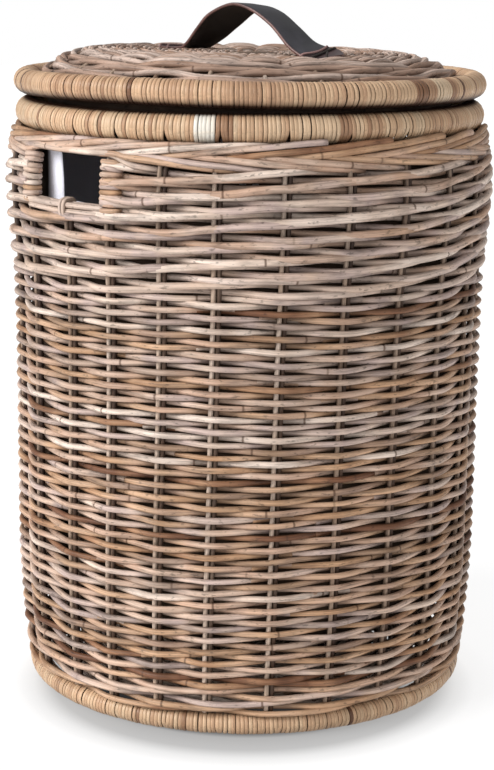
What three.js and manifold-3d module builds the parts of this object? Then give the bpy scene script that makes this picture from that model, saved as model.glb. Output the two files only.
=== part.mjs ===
// A round laundry basket of woven rattan with a cotton liner and a loose, slightly domed lid.
// Millimetres, +Z up. The origin is on the floor under the middle of the basket. +X runs along
// the lid's leather strap, and the two hand-holes face -Y and +Y.
import * as THREE from 'three';
import { mergeVertices } from 'three/addons/utils/BufferGeometryUtils.js';
import Module from 'manifold-3d';

const wasm = await Module();
wasm.setup();

// ---- driving dimensions ----
const GAP = 0.4; // between touching pieces
const AROUND = 36; // flats round each ring

// The wall: outside radius against height, widest a little below the top.
const WALL_OUTLINE = [
  [217.5, 20], [224.5, 120], [225.3, 270], [227, 395], [232.4, 487], [226.8, 536],
];
const WALL_THICKNESS = 15; // one stake with a rod in front of it and one behind
const BOTTOM_WALE = [22, 46.5];
const LOWER_WEAVE = [46.5, 405];
const MIDDLE_WALE = [405, 423];
const UPPER_WEAVE = [423, 513];
const TOP_BORDER = [513, 536];

const STAKE_COUNT = 24;
const STAKE_WIDTH = 9.6; // two rods side by side
const STAKE_DEPTH = 4.8;
const STAKE_DRIFT = 6.6; // degrees
const STAKE_PLAY = 0.8; // the channel is this much larger than the stake

// Hoops: a pole of round section with flat cane wound round it.
const FOOT = { radius: 205, height: 10.2, outer: 10.2, pole: 6.6 };
const RIM = { radius: 209, height: 550.4, outer: 14.1, pole: 10 };
const LID_HOOP = { radius: 212, height: 577.4, outer: 12.3, pole: 8.4 };
const LOCATING_HOOP = { radius: 185.5, height: 562, outer: 7.5 };
const SLIT = 2; // half the opening along each wrapping, where the weave enters it

const BASE = { radius: 200.5, low: 21.5, high: 33.5 };
const STICK_WIDTH = 9.6;
const STICK_DEPTH = 4.8;
const STICK_COUNT = 6; // right across, so 12 arms

// The lid panel: top surface from the crown to the hoop.
const LID_CROWN = 612;
const LID_SHOULDER = { radius: 128, height: 609.5 };
const LID_PANEL_RADIUS = 176;
const LID_PANEL_EDGE = 602;
const LID_THICKNESS = 12;
const LID_WALE = { inner: 176, outer: 198.5, low: 572, high: 596 };

// Hand-holes, centred on -Y and +Y.
const HOLE_HALF_WIDTH = 38;
const HOLE_LOW = 480.5;
const HOLE_HIGH = 524;
const POST_WIDTH = 22;
const POST_STAKE_ANGLE = 12.6; // degrees from the middle of the hole
const SILL_HEIGHT = 6;

// The liner hangs from the top and stops short of the floor of the basket.
const LINER = { radius: 207.5, low: 112, high: 533, cloth: 2.4, corner: 30 };
const LINER_HOLE_HALF_WIDTH = 34;
const LINER_HOLE = [478, 526];
const TIE = { width: 12, depth: 2, height: 26, middle: 512 };

// The leather strap runs along X over the crown.
const STRAP_WIDTH = 36;
const STRAP_LEATHER = 3;
const STRAP_FOOT = 77; // from the middle to where the strap leaves the lid
const STRAP_TAB = 46;
const STRAP_RISE = 36.5;
const LASH_PLACES = [92, 112];
const LASH_CORD = 2.4;

const STRAW = 0xd9bd90;
const BEIGE = 0xc9b195;
const GREY_BEIGE = 0xb9aca0;
const TAN = 0xa98a66;
const COTTON = 0xe9e8ee;
const LEATHER = 0x2b282b;
const CORD = 0x1c1a1b;

// ---- solids ----

function toSolid(geometry) {
  const bare = geometry.clone();
  bare.deleteAttribute('normal');
  bare.deleteAttribute('uv');
  const merged = mergeVertices(bare, 1e-3);
  const index = merged.getIndex().array;
  const triangles = [];
  for (let i = 0; i < index.length; i += 3) {
    const [a, b, c] = [index[i], index[i + 1], index[i + 2]];
    if (a !== b && b !== c && c !== a) triangles.push(a, b, c);
  }
  return new wasm.Manifold(new wasm.Mesh({
    numProp: 3,
    vertProperties: new Float32Array(merged.getAttribute('position').array),
    triVerts: new Uint32Array(triangles),
  }));
}

function toGeometry(solid) {
  const mesh = solid.getMesh();
  const geometry = new THREE.BufferGeometry();
  geometry.setAttribute('position', new THREE.BufferAttribute(mesh.vertProperties, 3));
  geometry.setIndex(new THREE.BufferAttribute(mesh.triVerts, 1));
  geometry.computeVertexNormals();
  return geometry;
}

// A solid of revolution about Z from (radius, height) points, up the outside and down the inside.
function turned(points) {
  const section = points.map(([r, z]) => new THREE.Vector2(r, z));
  const geometry = new THREE.LatheGeometry(section, AROUND);
  geometry.rotateX(Math.PI / 2);
  return toSolid(geometry);
}

function closed(points) {
  return [...points, points[0]];
}

function block(width, depth, height, x, y, z) {
  const geometry = new THREE.BoxGeometry(width, depth, height);
  geometry.translate(x, y, z);
  return toSolid(geometry);
}

function joined(solids) {
  return solids.reduce((all, one) => all.add(one));
}

// Points round an arc of a circle in the section plane, angles in degrees.
function arc(centreR, centreZ, radius, from, to, steps) {
  return Array.from({ length: steps + 1 }, (_, i) => {
    const angle = THREE.MathUtils.degToRad(from + ((to - from) * i) / steps);
    return [centreR + radius * Math.cos(angle), centreZ + radius * Math.sin(angle)];
  });
}

// ---- the wall ----

const wallCurve = new THREE.SplineCurve(WALL_OUTLINE.map(([r, z]) => new THREE.Vector2(r, z)));
const wallPoints = wallCurve.getPoints(80);

function wallRadius(height) {
  const above = wallPoints.findIndex((p) => p.y >= height);
  if (above <= 0) return wallPoints[above === 0 ? 0 : wallPoints.length - 1].x;
  const [low, high] = [wallPoints[above - 1], wallPoints[above]];
  return THREE.MathUtils.mapLinear(height, low.y, high.y, low.x, high.x);
}

function wallBand([low, high], steps, thickness = WALL_THICKNESS, inset = 0) {
  const [bottom, top] = [low + GAP / 2, high - GAP / 2];
  const heights = Array.from({ length: steps + 1 }, (_, i) => bottom + ((top - bottom) * i) / steps);
  const outside = heights.map((z) => [wallRadius(z) - inset, z]);
  const inside = heights.map((z) => [wallRadius(z) - inset - thickness, z]).reverse();
  return turned(closed([...outside, ...inside]));
}

const UPRIGHT_LOW = BOTTOM_WALE[0] - 10;
const UPRIGHT_HIGH = TOP_BORDER[1] + 6;

// A bar in the XZ plane that follows the wall's curve, longer than the wall at both ends.
function upright(width, depth) {
  const steps = 6;
  const middle = WALL_THICKNESS / 2;
  const points = Array.from({ length: steps + 1 }, (_, i) => {
    const z = UPRIGHT_LOW + ((UPRIGHT_HIGH - UPRIGHT_LOW) * i) / steps;
    return new THREE.Vector3(wallRadius(z) - middle, 0, z);
  });
  const section = new THREE.Shape();
  section.moveTo(-width / 2, -depth / 2);
  section.lineTo(width / 2, -depth / 2);
  section.lineTo(width / 2, depth / 2);
  section.lineTo(-width / 2, depth / 2);
  section.closePath();
  const extrudePath = new THREE.CatmullRomCurve3(points);
  return toSolid(new THREE.ExtrudeGeometry(section, { steps, extrudePath, bevelEnabled: false }));
}

const WALL_REACH = 250; // further out than any part of the wall
const STAKE_LOW = BOTTOM_WALE[0] + GAP;
const STAKE_HIGH = TOP_BORDER[1] - 2;
const STAKE_STEP = 360 / STAKE_COUNT;
const HOLE_ANGLES = [-90, 90];

// How far the stakes between the hand-holes stand round from an even spacing, in degrees.
function drift(angle) {
  const afterHole = (angle + 450) % 180;
  const { smoothstep } = THREE.MathUtils;
  return STAKE_DRIFT * smoothstep(afterHole, 12, 42) * smoothstep(-afterHole, -165, -125);
}

// Stakes stand about every 15 degrees, and those beside a hand-hole stand at its edge.
const stakes = Array.from({ length: STAKE_COUNT }, (_, i) => {
  const even = i * STAKE_STEP - 180;
  const stake = { angle: even - drift(even), high: STAKE_HIGH };
  for (const hole of HOLE_ANGLES) {
    if (even === hole) stake.high = HOLE_LOW - SILL_HEIGHT - GAP;
    if (Math.abs(even - hole) === STAKE_STEP) {
      stake.angle = hole + Math.sign(even - hole) * POST_STAKE_ANGLE;
    }
  }
  return stake;
});

const channel = upright(STAKE_WIDTH + STAKE_PLAY, STAKE_DEPTH + STAKE_PLAY);
const channels = joined(stakes.map(({ angle }) => channel.rotate([0, 0, angle])));

// ---- hand-holes ----

const POST_OUTER = HOLE_HALF_WIDTH + POST_WIDTH;
const POCKET_LOW = HOLE_LOW - SILL_HEIGHT;
const holeDepth = 60;
const holeMiddle = 215;

function holeBlock(halfWidth, low, high, x = 0) {
  return block(2 * halfWidth, holeDepth, high - low, x, -holeMiddle, (low + high) / 2);
}

function bothSides(solid) {
  return solid.add(solid.rotate([0, 0, 180]));
}

const pockets = bothSides(holeBlock(POST_OUTER + GAP, POCKET_LOW, HOLE_HIGH));
const ringAtHole = wallBand([POCKET_LOW, HOLE_HIGH], 2);

function post(side) {
  const x = side * (HOLE_HALF_WIDTH + POST_WIDTH / 2);
  return ringAtHole
    .intersect(holeBlock(POST_WIDTH / 2, POCKET_LOW, HOLE_HIGH - GAP, x))
    .subtract(channels);
}

const sill = wallBand([POCKET_LOW, HOLE_LOW], 1, WALL_THICKNESS - 2, 1)
  .intersect(holeBlock(HOLE_HALF_WIDTH - GAP, POCKET_LOW, HOLE_LOW));

// ---- hoops and their wrappings ----

// Corner radius of the six-sided bore that clears a pole.
function boreRadius(pole) {
  return (pole + GAP) / Math.cos(Math.PI / 6);
}

// The cane wrapping: a tube slit along the side that faces slitAngle, where the weave enters.
function wrapping({ radius, height, outer, pole }, slitAngle) {
  const halfSlit = (r) => THREE.MathUtils.radToDeg(Math.asin(SLIT / r));
  const inner = boreRadius(pole);
  const [out, inn] = [halfSlit(outer), halfSlit(inner)];
  const outside = arc(radius, height, outer, slitAngle + out, slitAngle + 360 - out, 8);
  const inside = arc(radius, height, inner, slitAngle + 360 - inn, slitAngle + inn, 6);
  return turned(closed([...outside, ...inside]));
}

// The foot's wrapping has a flat underside that the basket stands on.
function footWrapping({ radius, height, outer, pole }) {
  const flat = outer * Math.tan(Math.PI / 8);
  const inner = boreRadius(pole);
  return turned(closed([
    [radius - flat, 0],
    [radius + flat, 0],
    [radius + outer, height - flat],
    [radius + outer, height + flat],
    [radius + flat, height + outer],
    [radius + SLIT, height + outer],
    ...arc(radius, height, inner, 70, -250, 6),
    [radius - SLIT, height + outer],
    [radius - flat, height + outer],
    [radius - outer, height + flat],
    [radius - outer, height - flat],
  ]));
}

function hoop(radius, height, section) {
  return turned(closed(arc(radius, height, section, -180, 180, 6).slice(0, -1)));
}

// ---- crossed sticks ----

function cross(width, reach, low, high) {
  const height = high - low + 20;
  const bar = block(2 * reach, width, height, 0, 0, (low + high) / 2);
  const turns = Array.from({ length: STICK_COUNT }, (_, i) => (i * 180) / STICK_COUNT);
  return joined(turns.map((angle) => bar.rotate([0, 0, angle])));
}

// ---- floor of the basket ----

const baseMiddle = (BASE.low + BASE.high) / 2;

function disc(radius, low, high) {
  return turned([[0, low], [radius, low], [radius, high], [0, high]]);
}

function baseCross(width, depth, reach) {
  const slab = disc(reach, baseMiddle - depth / 2, baseMiddle + depth / 2);
  return slab.intersect(cross(width, reach + 10, BASE.low, BASE.high));
}

const baseSticks = baseCross(STICK_WIDTH, STICK_DEPTH, BASE.radius - 0.5);
const baseWeave = disc(BASE.radius, BASE.low, BASE.high)
  .subtract(baseCross(STICK_WIDTH + STAKE_PLAY, STICK_DEPTH + STAKE_PLAY, BASE.radius + 5));

// ---- the lid ----

// Top surface of the lid, from the crown outwards, lowered by drop.
function lidTop(drop) {
  return [
    [LID_WALE.outer, LID_WALE.high - drop],
    [LID_PANEL_RADIUS, LID_PANEL_EDGE - drop],
    [LID_SHOULDER.radius, LID_SHOULDER.height - drop],
    [LID_SHOULDER.radius / 2, LID_CROWN - 0.8 - drop],
    [0, LID_CROWN - drop],
  ];
}

function lidShell(topDrop, bottomDrop) {
  return turned([...lidTop(bottomDrop).reverse(), ...lidTop(topDrop)]);
}

function lidCross(width, depth, reach) {
  const middle = LID_THICKNESS / 2;
  const shell = lidShell(middle - depth / 2, middle + depth / 2);
  return shell.intersect(cross(width, reach, LID_WALE.low, LID_CROWN));
}

const lidSpokes = lidCross(STICK_WIDTH, STICK_DEPTH, LID_WALE.outer - 1);
const spokeChannels = lidCross(STICK_WIDTH + STAKE_PLAY, STICK_DEPTH + STAKE_PLAY, LID_WALE.outer + 20);
const lidPanel = lidShell(0, LID_THICKNESS)
  .intersect(disc(LID_PANEL_RADIUS - GAP, LID_WALE.low - 10, LID_CROWN + 10))
  .subtract(spokeChannels);
const lidWale = turned(closed([
  [LID_WALE.inner, LID_WALE.low],
  [LID_WALE.outer, LID_WALE.low + 2],
  [LID_WALE.outer, LID_WALE.high],
  [LID_WALE.inner, LID_PANEL_EDGE],
])).subtract(spokeChannels);

// ---- the strap ----

const STRAP_LOW = LID_CROWN + GAP;

// The strap's underside: a tab, an arch and a tab.
function strapArch() {
  const rise = new THREE.CatmullRomCurve3([
    new THREE.Vector3(-STRAP_FOOT - 8, 0, 0),
    new THREE.Vector3(-STRAP_FOOT, 0, 2.5),
    new THREE.Vector3(-STRAP_FOOT * 0.62, 0, STRAP_RISE * 0.52),
    new THREE.Vector3(-STRAP_FOOT * 0.28, 0, STRAP_RISE * 0.92),
    new THREE.Vector3(0, 0, STRAP_RISE),
    new THREE.Vector3(STRAP_FOOT * 0.28, 0, STRAP_RISE * 0.92),
    new THREE.Vector3(STRAP_FOOT * 0.62, 0, STRAP_RISE * 0.52),
    new THREE.Vector3(STRAP_FOOT, 0, 2.5),
    new THREE.Vector3(STRAP_FOOT + 8, 0, 0),
  ]);
  const line = rise.getPoints(28).map((p) => new THREE.Vector2(p.x, p.z));
  const reach = STRAP_FOOT + STRAP_TAB;
  return [new THREE.Vector2(-reach, 0), ...line, new THREE.Vector2(reach, 0)];
}

function strapSide() {
  const under = strapArch();
  const over = under.map((p, i) => {
    const before = under[Math.max(i - 1, 0)];
    const after = under[Math.min(i + 1, under.length - 1)];
    const along = after.clone().sub(before).normalize();
    return new THREE.Vector2(p.x - along.y * STRAP_LEATHER, p.y + along.x * STRAP_LEATHER);
  });
  const side = new THREE.Shape([...under, ...over.reverse()]);
  const geometry = new THREE.ExtrudeGeometry(side, { depth: STRAP_WIDTH, bevelEnabled: false });
  geometry.rotateX(Math.PI / 2);
  geometry.translate(0, STRAP_WIDTH / 2, STRAP_LOW);
  return toSolid(geometry);
}

// The strap's outline from above, with rounded tips.
function strapPlan() {
  const reach = STRAP_FOOT + STRAP_TAB - STRAP_WIDTH / 2;
  const plan = new THREE.Shape();
  plan.absarc(reach, 0, STRAP_WIDTH / 2, -Math.PI / 2, Math.PI / 2, false);
  plan.absarc(-reach, 0, STRAP_WIDTH / 2, Math.PI / 2, (3 * Math.PI) / 2, false);
  const options = { depth: STRAP_RISE + 20, bevelEnabled: false, curveSegments: 8 };
  const geometry = new THREE.ExtrudeGeometry(plan, options);
  geometry.translate(0, 0, STRAP_LOW - 5);
  return toSolid(geometry);
}

const strap = strapSide().intersect(strapPlan());

// A cord bridge over the strap with a leg down on either side of it.
function lashing(x) {
  const inner = STRAP_WIDTH / 2 + GAP;
  const bridgeLow = STRAP_LOW + STRAP_LEATHER + GAP;
  const foot = STRAP_LOW;
  const bridge = block(
    LASH_CORD, 2 * (inner + LASH_CORD), LASH_CORD, x, 0, bridgeLow + LASH_CORD / 2);
  const legHeight = bridgeLow + LASH_CORD - foot;
  const leg = (side) => block(
    LASH_CORD, LASH_CORD, legHeight, x, side * (inner + LASH_CORD / 2), foot + legHeight / 2);
  return joined([bridge, leg(1), leg(-1)]);
}

// ---- the liner ----

function linerShell(radius, low, high, corner) {
  return turned([
    [0, low],
    [radius - corner, low],
    ...arc(radius - corner, low + corner, corner, -60, 0, 2),
    [radius, high],
    [0, high],
  ]);
}

const linerInner = linerShell(
  LINER.radius - LINER.cloth, LINER.low + LINER.cloth, LINER.high + 10, LINER.corner - LINER.cloth);
const linerHoles = bothSides(holeBlock(LINER_HOLE_HALF_WIDTH, LINER_HOLE[0], LINER_HOLE[1]));
const liner = linerShell(LINER.radius, LINER.low, LINER.high, LINER.corner)
  .subtract(linerInner)
  .subtract(linerHoles);

const tieRadius = LINER.radius + GAP + TIE.depth / 2;
const tie = block(TIE.depth, TIE.width, TIE.height, tieRadius, 0, TIE.middle);

// ---- the assembly ----

const basket = new THREE.Group();

function place(name, solid, color, roughness = 0.7) {
  const material = new THREE.MeshStandardMaterial({ color, roughness, metalness: 0 });
  const mesh = new THREE.Mesh(toGeometry(solid), material);
  mesh.name = name;
  basket.add(mesh);
}

place('foot_hoop', hoop(FOOT.radius, FOOT.height, FOOT.pole), TAN);
place('foot_wrap', footWrapping(FOOT), STRAW);
place('base_sticks', baseSticks, TAN);
place('base_weave', baseWeave, BEIGE);
place('bottom_wale', wallBand(BOTTOM_WALE, 1).subtract(channels), BEIGE);
place('lower_weave', wallBand(LOWER_WEAVE, 3).subtract(channels), BEIGE);
place('middle_wale', wallBand(MIDDLE_WALE, 1).subtract(channels), GREY_BEIGE);
place('upper_weave', wallBand(UPPER_WEAVE, 3).subtract(pockets).subtract(channels), BEIGE);
place('top_border', wallBand(TOP_BORDER, 1).subtract(pockets).subtract(channels), BEIGE);

stakes.forEach(({ angle, high }, i) => {
  const stake = upright(STAKE_WIDTH, STAKE_DEPTH).intersect(disc(WALL_REACH, STAKE_LOW, high));
  place(`stake_${String(i + 1).padStart(2, '0')}`, stake.rotate([0, 0, angle]), TAN);
});

place('rim_hoop', hoop(RIM.radius, RIM.height, RIM.pole), TAN);
place('rim_wrap', wrapping(RIM, -90), STRAW);

for (const [name, turn] of [['front', 0], ['back', 180]]) {
  place(`hand_hole_post_${name}_left`, post(-1).rotate([0, 0, turn]), BEIGE);
  place(`hand_hole_post_${name}_right`, post(1).rotate([0, 0, turn]), BEIGE);
  place(`hand_hole_sill_${name}`, sill.rotate([0, 0, turn]), GREY_BEIGE);
}

place('cotton_liner', liner, COTTON, 0.9);
[45, 135, 225, 315].forEach((angle, i) => {
  place(`liner_tie_${i + 1}`, tie.rotate([0, 0, angle]), COTTON, 0.9);
});

place('lid_hoop', hoop(LID_HOOP.radius, LID_HOOP.height, LID_HOOP.pole), TAN);
place('lid_wrap', wrapping(LID_HOOP, 180), STRAW);
place('lid_locating_hoop', hoop(LOCATING_HOOP.radius, LOCATING_HOOP.height, LOCATING_HOOP.outer), TAN);
place('lid_spokes', lidSpokes, TAN);
place('lid_panel', lidPanel, BEIGE);
place('lid_wale', lidWale, GREY_BEIGE);

place('strap_handle', strap, LEATHER, 0.5);
[-1, 1].forEach((side) => LASH_PLACES.forEach((x, i) => {
  const end = side < 0 ? 'left' : 'right';
  place(`strap_lashing_${end}_${i + 1}`, lashing(side * x), CORD, 0.8);
}));

export default basket;
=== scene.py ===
"""A woven rattan laundry basket with a cotton liner and a loose, nearly flat lid, rod by rod.

The basket stands on the floor with +Z up and +X along the lid's strap; its hand-holes face -Y and +Y.
Lengths in the constants and functions below are millimetres, and meshes are made in metres.
"""

import math

import bpy
import numpy as np
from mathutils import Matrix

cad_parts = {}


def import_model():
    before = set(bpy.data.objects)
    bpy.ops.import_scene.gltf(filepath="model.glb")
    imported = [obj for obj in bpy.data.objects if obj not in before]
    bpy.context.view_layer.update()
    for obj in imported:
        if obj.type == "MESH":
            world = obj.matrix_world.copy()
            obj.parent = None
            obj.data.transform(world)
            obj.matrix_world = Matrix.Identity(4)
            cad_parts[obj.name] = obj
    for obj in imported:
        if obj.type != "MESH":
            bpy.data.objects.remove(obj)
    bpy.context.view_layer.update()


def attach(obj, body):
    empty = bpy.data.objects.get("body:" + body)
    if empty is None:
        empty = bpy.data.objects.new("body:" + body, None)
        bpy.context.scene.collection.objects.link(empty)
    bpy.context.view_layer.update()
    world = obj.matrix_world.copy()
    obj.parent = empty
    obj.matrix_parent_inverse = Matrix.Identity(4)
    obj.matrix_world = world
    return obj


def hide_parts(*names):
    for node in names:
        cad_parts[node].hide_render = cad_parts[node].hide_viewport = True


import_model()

MM = 0.001
TAU = 2 * math.pi
UP = np.array([0, 0, 1.0])

# ---- driving sizes, close to those of the CAD model ----

# The points of an outline are (radius, height).
WALL_OUTLINE = [
    (217.5, 20), (224.5, 120), (225.3, 270), (227, 395), (232.4, 487), (226.8, 536), (226.2, 550),
]
WALL_HALF = 7.5  # from the wall's outside to the middle of its stakes
WALL_RADIUS = 225.0  # the wall's outside, on average
STAKE_COUNT = 24
STAKE_ROD = 2.3  # radius of each of the two rods of a stake
STAKE_LEAN = math.radians(2.5)  # how far the stakes turn round the basket from foot to rim
STAKE_DRIFT = 6.6  # degrees that the stakes between the holes stand round from an even spacing
HOLES = (-90, 90)  # the middles of the hand-holes, in degrees round from +X
POST_STAKES = (-15.8, 12.6)  # the stakes inside the posts, in degrees from a hole's middle
HOLE_HALF_WIDTH = 38.0
HOLE_RADIUS = 221.0  # turns a width at the hand-holes into an angle
HOLE_LOW = 480.5  # the bottom of a hand-hole
POST_WIDTH = 22.0
WALE_LOW = 21.5  # the lowest rows of weaving start here
LOWER_WEAVE = (46.5, 405.0)
UPPER_WEAVE = (423.0, 513.0)
HEIGHT = 536.0  # top of the wall
# A hoop is its radius, the height of its middle and the radius of its section.
FOOT_HOOP = (205.0, 10.2, 10.2)
RIM_HOOP = (209.0, 550.4, 14.1)
LID_HOOP = (212.0, 577.4, 12.3)
LOCATING_HOOP = (185.5, 562.0, 7.4)
BASE_HEIGHT, BASE_RADIUS = 27.5, 200.0
LID_OUTLINE = [
    (0, 606.2), (60, 606.4), (105, 607.4), (136, 608.4), (150, 607.6), (165, 605), (178, 600.5),
    (190, 594.5), (200, 587), (204, 584),
]
LID_TILT = 2.2  # how far one side of the lid stands above its middle
LINER_RADIUS, LINER_LOW, LINER_HIGH, LINER_CORNER = 210.0, 84.0, 537.0, 30.0
STRAP_WIDTH, STRAP_LEATHER = 36.0, 3.0
TAB_DENT = 4.8  # how far a tab of the strap is pulled down into the lid's weave
TABS = (60, 140)  # from the middle of the strap to the two ends of a tab's dent
STRAP_MIDDLE = -5  # the middle of the strap along X

rng = np.random.default_rng(11)


# ---- mesh building ----


class Bundle:
    """Collects many rods or strips into the arrays of one mesh, with each rod's own attributes."""

    KEYS = ("tint", "along", "about", "tone")

    def __init__(self):
        self.points, self.faces, self.count = [], [], 0
        self.values = {key: [] for key in self.KEYS}

    def add(self, points, tint, along, about, tone, closed=False):
        """points[i, j]: section i along the rod, point j round it."""
        rows, sides = points.shape[:2]
        grid = self.count + np.arange(rows * sides).reshape(rows, sides)
        here = grid if closed else grid[:-1]
        there = np.roll(grid, -1, axis=0) if closed else grid[1:]
        quads = np.stack([here, np.roll(here, -1, 1), np.roll(there, -1, 1), there], axis=-1)
        self.faces.append(quads.reshape(-1, 4))
        if not closed:
            self.faces.append(grid[0, ::-1][None])
            self.faces.append(grid[-1][None])
        self.points.append(points.reshape(-1, 3))
        self.count += rows * sides
        for key, value in zip(self.KEYS, (tint, along, about, tone)):
            self.values[key].append(np.broadcast_to(value, (rows, sides)).reshape(-1))

    def build(self, name, material, body, slot, stands_for):
        mesh = bpy.data.meshes.new(name)
        points = np.concatenate(self.points) * MM
        loops = np.concatenate([f.reshape(-1) for f in self.faces])
        totals = np.concatenate([np.full(len(f), f.shape[1]) for f in self.faces])
        mesh.vertices.add(len(points))
        mesh.vertices.foreach_set("co", points.reshape(-1).astype(np.float32))
        mesh.loops.add(len(loops))
        mesh.loops.foreach_set("vertex_index", loops.astype(np.int32))
        mesh.polygons.add(len(totals))
        starts = np.concatenate([[0], np.cumsum(totals)[:-1]])
        mesh.polygons.foreach_set("loop_start", starts.astype(np.int32))
        mesh.polygons.foreach_set("loop_total", totals.astype(np.int32))
        mesh.polygons.foreach_set("use_smooth", totals == 4)
        for key in self.KEYS:
            add_values(mesh, key, np.concatenate(self.values[key]))
        mesh.update(calc_edges=True)
        mesh.validate()
        return add_piece(name, mesh, material, body, stands_for)


def add_values(mesh, key, values):
    layer = mesh.attributes.new(key, "FLOAT", "POINT")
    layer.data.foreach_set("value", values.astype(np.float32))


def add_object(name, data):
    made = bpy.data.objects.new(name, data)
    bpy.context.scene.collection.objects.link(made)
    return made


def add_piece(name, mesh, material, body, stands_for):
    piece = add_object(name, mesh)
    mesh.materials.append(material)
    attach(piece, body)
    if stands_for:
        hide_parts(*stands_for)
    return piece


def unit(v):
    return v / np.maximum(np.linalg.norm(v, axis=-1, keepdims=True), 1e-12)


def lengths(path):
    steps = np.linalg.norm(np.diff(path, axis=0), axis=1)
    return np.concatenate([[0], np.cumsum(steps)])


ROD_SIDE_SHADE = 0.4  # painted shade: how much darker a rod is on the two sides that lie against its neighbours


def tube(bundle, path, normals, radius, tint, sides=8, closed=False, tone=0.0, flat=1.0):
    """A round rod along a path, with a normal for each point or one for all. flat below 1 makes it
    thinner along the normals."""
    ahead = np.roll(path, -1, 0) - np.roll(path, 1, 0)
    if not closed:
        ahead[0], ahead[-1] = path[1] - path[0], path[-1] - path[-2]
    ahead = unit(ahead)
    across = unit(np.cross(ahead, normals))
    out = np.cross(across, ahead)
    turn = np.arange(sides) * TAU / sides
    radius = np.broadcast_to(radius, len(path))[:, None, None]
    ring = (
        np.cos(turn)[None, :, None] * across[:, None, :]
        + flat * np.sin(turn)[None, :, None] * out[:, None, :]
    )
    points = path[:, None, :] + radius * ring
    along = lengths(path)[:, None] * MM + tint * 3
    # painted shade on the two sides of the rod that lie against its neighbours
    tone = np.broadcast_to(tone, len(path))[:, None] + ROD_SIDE_SHADE * np.cos(turn) ** 4
    bundle.add(points, tint, along, turn / TAU, tone=np.clip(tone, 0, 1), closed=closed)


def smooth(x):
    x = np.clip(x, 0, 1)
    return x * x * (3 - 2 * x)


def spline(points, per_step=14):
    """A smooth curve through the points, evenly weighted."""
    p = np.array(points, float)
    p = np.concatenate([p[:1], p, p[-1:]])
    out = []
    for a, b, c, d in zip(p[:-3], p[1:-2], p[2:-1], p[3:]):
        t = np.linspace(0, 1, per_step, endpoint=False)[:, None]
        out.append(
            b + 0.5 * t * (c - a + t * (2 * a - 5 * b + 4 * c - d + t * (3 * (b - c) + d - a)))
        )
    return np.concatenate([*out, p[-2:-1]])


def a_tint(middle, spread=0.24):
    """A random place between the darkest and the palest tone of a material."""
    return float(np.clip(rng.normal(middle, spread), 0.02, 0.98))


# ---- woven surfaces: the wall, the lid and the base are each woven round a ring of stakes ----


def stake_table():
    """The stakes' angles, in radians: uneven between the hand-holes, as they were set by hand."""
    angles = []
    for i in range(STAKE_COUNT):
        even = i * 360 / STAKE_COUNT - 180
        after_hole = (even + 450) % 180
        drift = smooth((after_hole - 12) / 30) * smooth((165 - after_hole) / 40)
        angle = even - STAKE_DRIFT * float(drift)
        for hole in HOLES:
            if abs(even - hole) == 360 / STAKE_COUNT:
                angle = hole + POST_STAKES[int(even > hole)]
        angles.append(math.radians(angle))
    return np.array(angles)


class Surface:
    """A surface of revolution to weave on. A level is a height on the wall, and a radius on a disc,
    whose outline runs from the middle outwards. The weave's middle lies inset inside the outline."""

    def __init__(self, outline, stakes, lean=0.0, inset=0.0, upright=True, dent=None):
        self.dent = dent
        line = spline(outline)
        self.levels = line[:, 1] if upright else line[:, 0]
        slope = unit(np.gradient(line, axis=0))
        turn = 1 if upright else -1
        self.normals = np.stack([slope[:, 1], -slope[:, 0]], axis=1) * turn
        self.line = line - self.normals * inset
        self.lean = lean
        rounds = np.concatenate([stakes + k * TAU for k in range(-2, 4)])
        self.table = (np.arange(len(rounds)) - 2 * len(stakes), rounds)

    def theta(self, phase, level):
        """The angle of a place counted in stakes round the ring."""
        return np.interp(phase, *self.table) + self.lean * (np.asarray(level) / HEIGHT - 1)

    def pick(self, column, level):
        return np.interp(level, self.levels, column)

    def normal(self, theta, level):
        out, up = self.pick(self.normals[:, 0], level), self.pick(self.normals[:, 1], level)
        return np.stack([out * np.cos(theta), out * np.sin(theta), up + 0 * theta], axis=-1)

    def point(self, theta, level, out=0.0):
        r, z = self.pick(self.line[:, 0], level), self.pick(self.line[:, 1], level)
        surface = np.stack([r * np.cos(theta), r * np.sin(theta), z + 0 * theta], axis=-1)
        surface = surface + self.normal(theta, level) * np.reshape(out, (-1, 1))
        if self.dent:
            surface[:, 2] -= self.dent(surface[:, 0], surface[:, 1])
        return surface

    def rod(self, bundle, phase, level, out, radius, tint, tone=0.0, sides=8):
        theta = self.theta(phase, level)
        path = self.point(theta, level, out)
        tube(bundle, path, self.normal(theta, level), radius, tint, sides, tone=tone)


def lid_sag(x, y):
    """How far the lid lies below its outline: it tilts a little, and the strap's tabs are pulled
    down into its weave, the right one most at its near edge."""
    aside = (x + y) * math.sqrt(0.5)
    radius = np.hypot(x, y)
    tilt = LID_TILT * aside / np.maximum(radius, 165) * (1 - smooth((radius - 178) / 24))
    along = np.abs(x - STRAP_MIDDLE)
    near = smooth((along - TABS[0]) / 16) * smooth((TABS[1] - along) / 16)
    near = near * smooth((40 - np.abs(y)) / 18)
    return tilt + near * TAB_DENT * (0.5 + (x > 0) * (0.3 - 0.9 * np.clip(y / 18, -1, 1)))


WALL_STAKES = stake_table()
SPOKES = np.radians(np.arange(STAKE_COUNT) * 360 / STAKE_COUNT + 4)
wall = Surface(WALL_OUTLINE, WALL_STAKES, STAKE_LEAN, WALL_HALF)
lid_top = Surface(LID_OUTLINE, SPOKES, inset=5.5, upright=False, dent=lid_sag)
base = Surface([(0, BASE_HEIGHT), (100, BASE_HEIGHT), (220, BASE_HEIGHT)], SPOKES, upright=False)
CUT_STAKES = (6, 18)  # those below the hand-holes


def waves(count, spread, span):
    """Smooth random wandering, with a new value every span steps."""
    knots = rng.normal(0, spread, int(count / span) + 4)
    t = np.arange(count) / span
    k = t.astype(int)
    f = smooth(t - k)
    return knots[k] * (1 - f) + knots[k + 1] * f


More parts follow.
